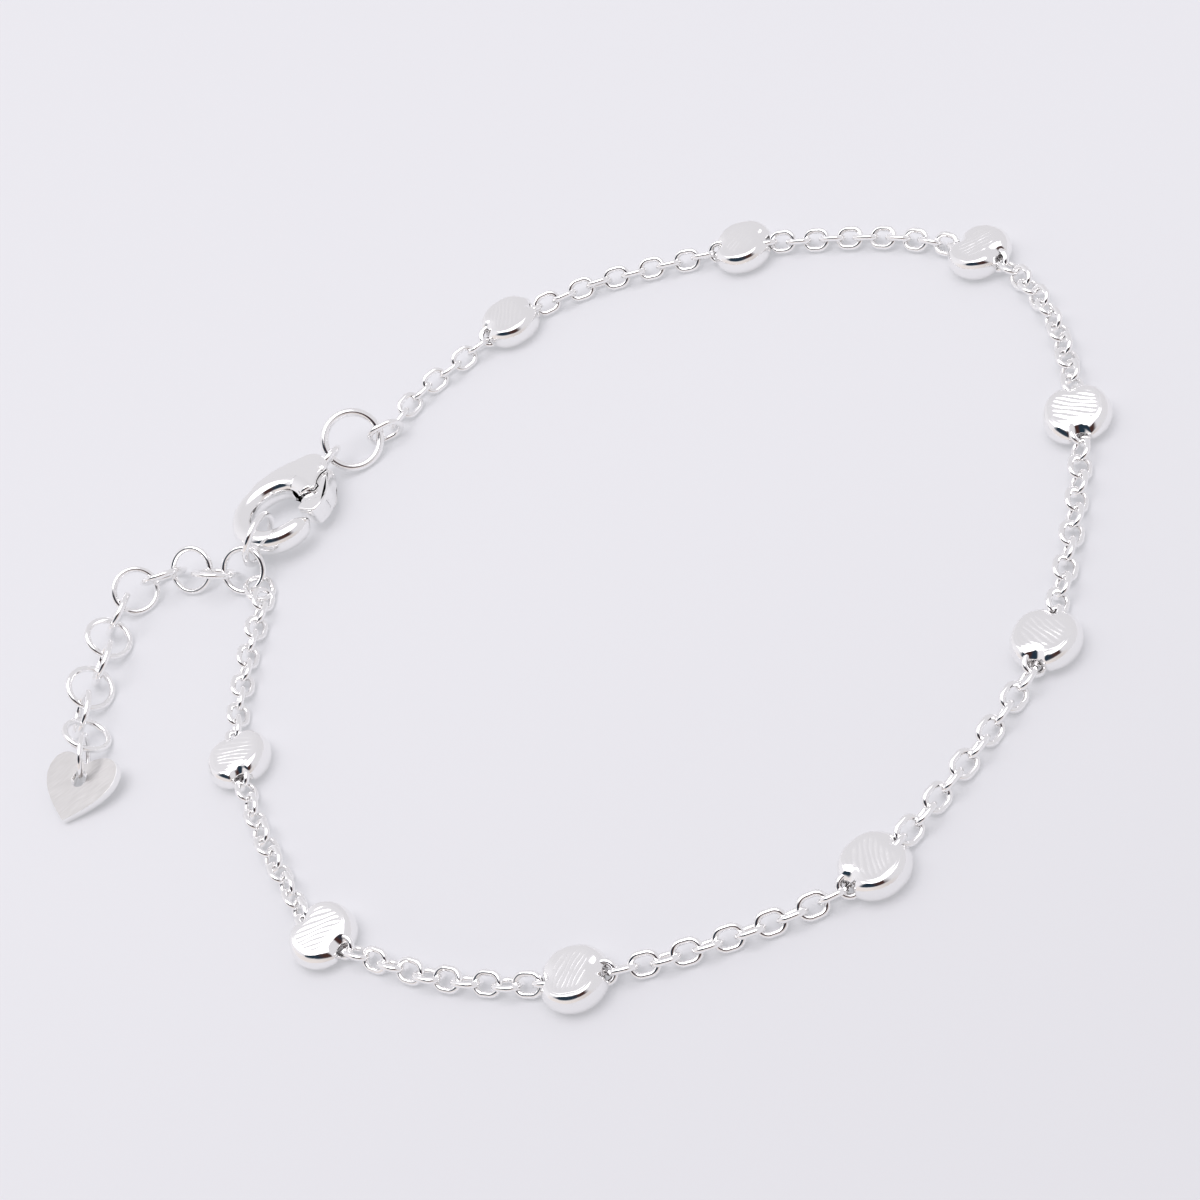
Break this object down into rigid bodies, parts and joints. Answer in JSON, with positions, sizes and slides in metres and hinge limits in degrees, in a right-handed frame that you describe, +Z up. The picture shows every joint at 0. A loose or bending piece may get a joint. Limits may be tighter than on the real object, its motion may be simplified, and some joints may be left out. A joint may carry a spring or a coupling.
{
  "type": "beaded bracelet",
  "caption": "Fine cable chain bracelet with round pressed beads, a lobster clasp, a ring extender and a plain heart tag.",
  "frame": {"origin": "middle of the bracelet's outline as it lies, on the surface that it lies on", "axes": "+Z up from the surface; +X across the loop towards the side away from the extender; +Y towards the clasp's side of the loop"},
  "size_m": [0.0686, 0.06, 0.0036],
  "materials": {
    "polished_silver": "polished sterling silver; the beads' flat faces are finely grooved in the visual model",
    "satin_silver": "satin brushed sterling silver"
  },
  "bodies": {
    "bracelet": {"bead_1": "polished_silver", "bead_2": "polished_silver", "bead_3": "polished_silver", "bead_4": "polished_silver", "bead_5": "polished_silver", "bead_6": "polished_silver", "bead_7": "polished_silver", "bead_8": "polished_silver", "bead_9": "polished_silver", "chain_run_0": "polished_silver", "chain_run_1": "polished_silver", "chain_run_2": "polished_silver", "chain_run_3": "polished_silver", "chain_run_4": "polished_silver", "chain_run_5": "polished_silver", "chain_run_6": "polished_silver", "chain_run_7": "polished_silver", "chain_run_8": "polished_silver", "chain_run_9": "polished_silver", "jump_ring": "polished_silver", "connecting_ring": "polished_silver", "end_link_1": "polished_silver", "end_link_2": "polished_silver", "clasp_body": "polished_silver", "extender_ring_1": "polished_silver", "extender_ring_2": "polished_silver", "extender_ring_3": "polished_silver", "extender_ring_4": "polished_silver", "extender_ring_5": "polished_silver", "extender_ring_6": "polished_silver", "extender_ring_7": "polished_silver", "extender_ring_8": "polished_silver", "extender_ring_9": "polished_silver", "extender_ring_10": "polished_silver", "extender_ring_11": "polished_silver", "heart_ring": "polished_silver", "heart_tag": "satin_silver"},
    "lever": {"clasp_lever": "polished_silver"}
  },
  "joints": [
    {"name": "lever_hinge", "type": "hinge", "parent": "bracelet", "child": "lever", "pos_m": [-0.01053, 0.02257, 0.00144], "axis": [0, 0, -1], "range_deg": [0, 20], "stiffness_Nm_per_rad": 0.004, "springref_deg": -8.59}
  ]
}
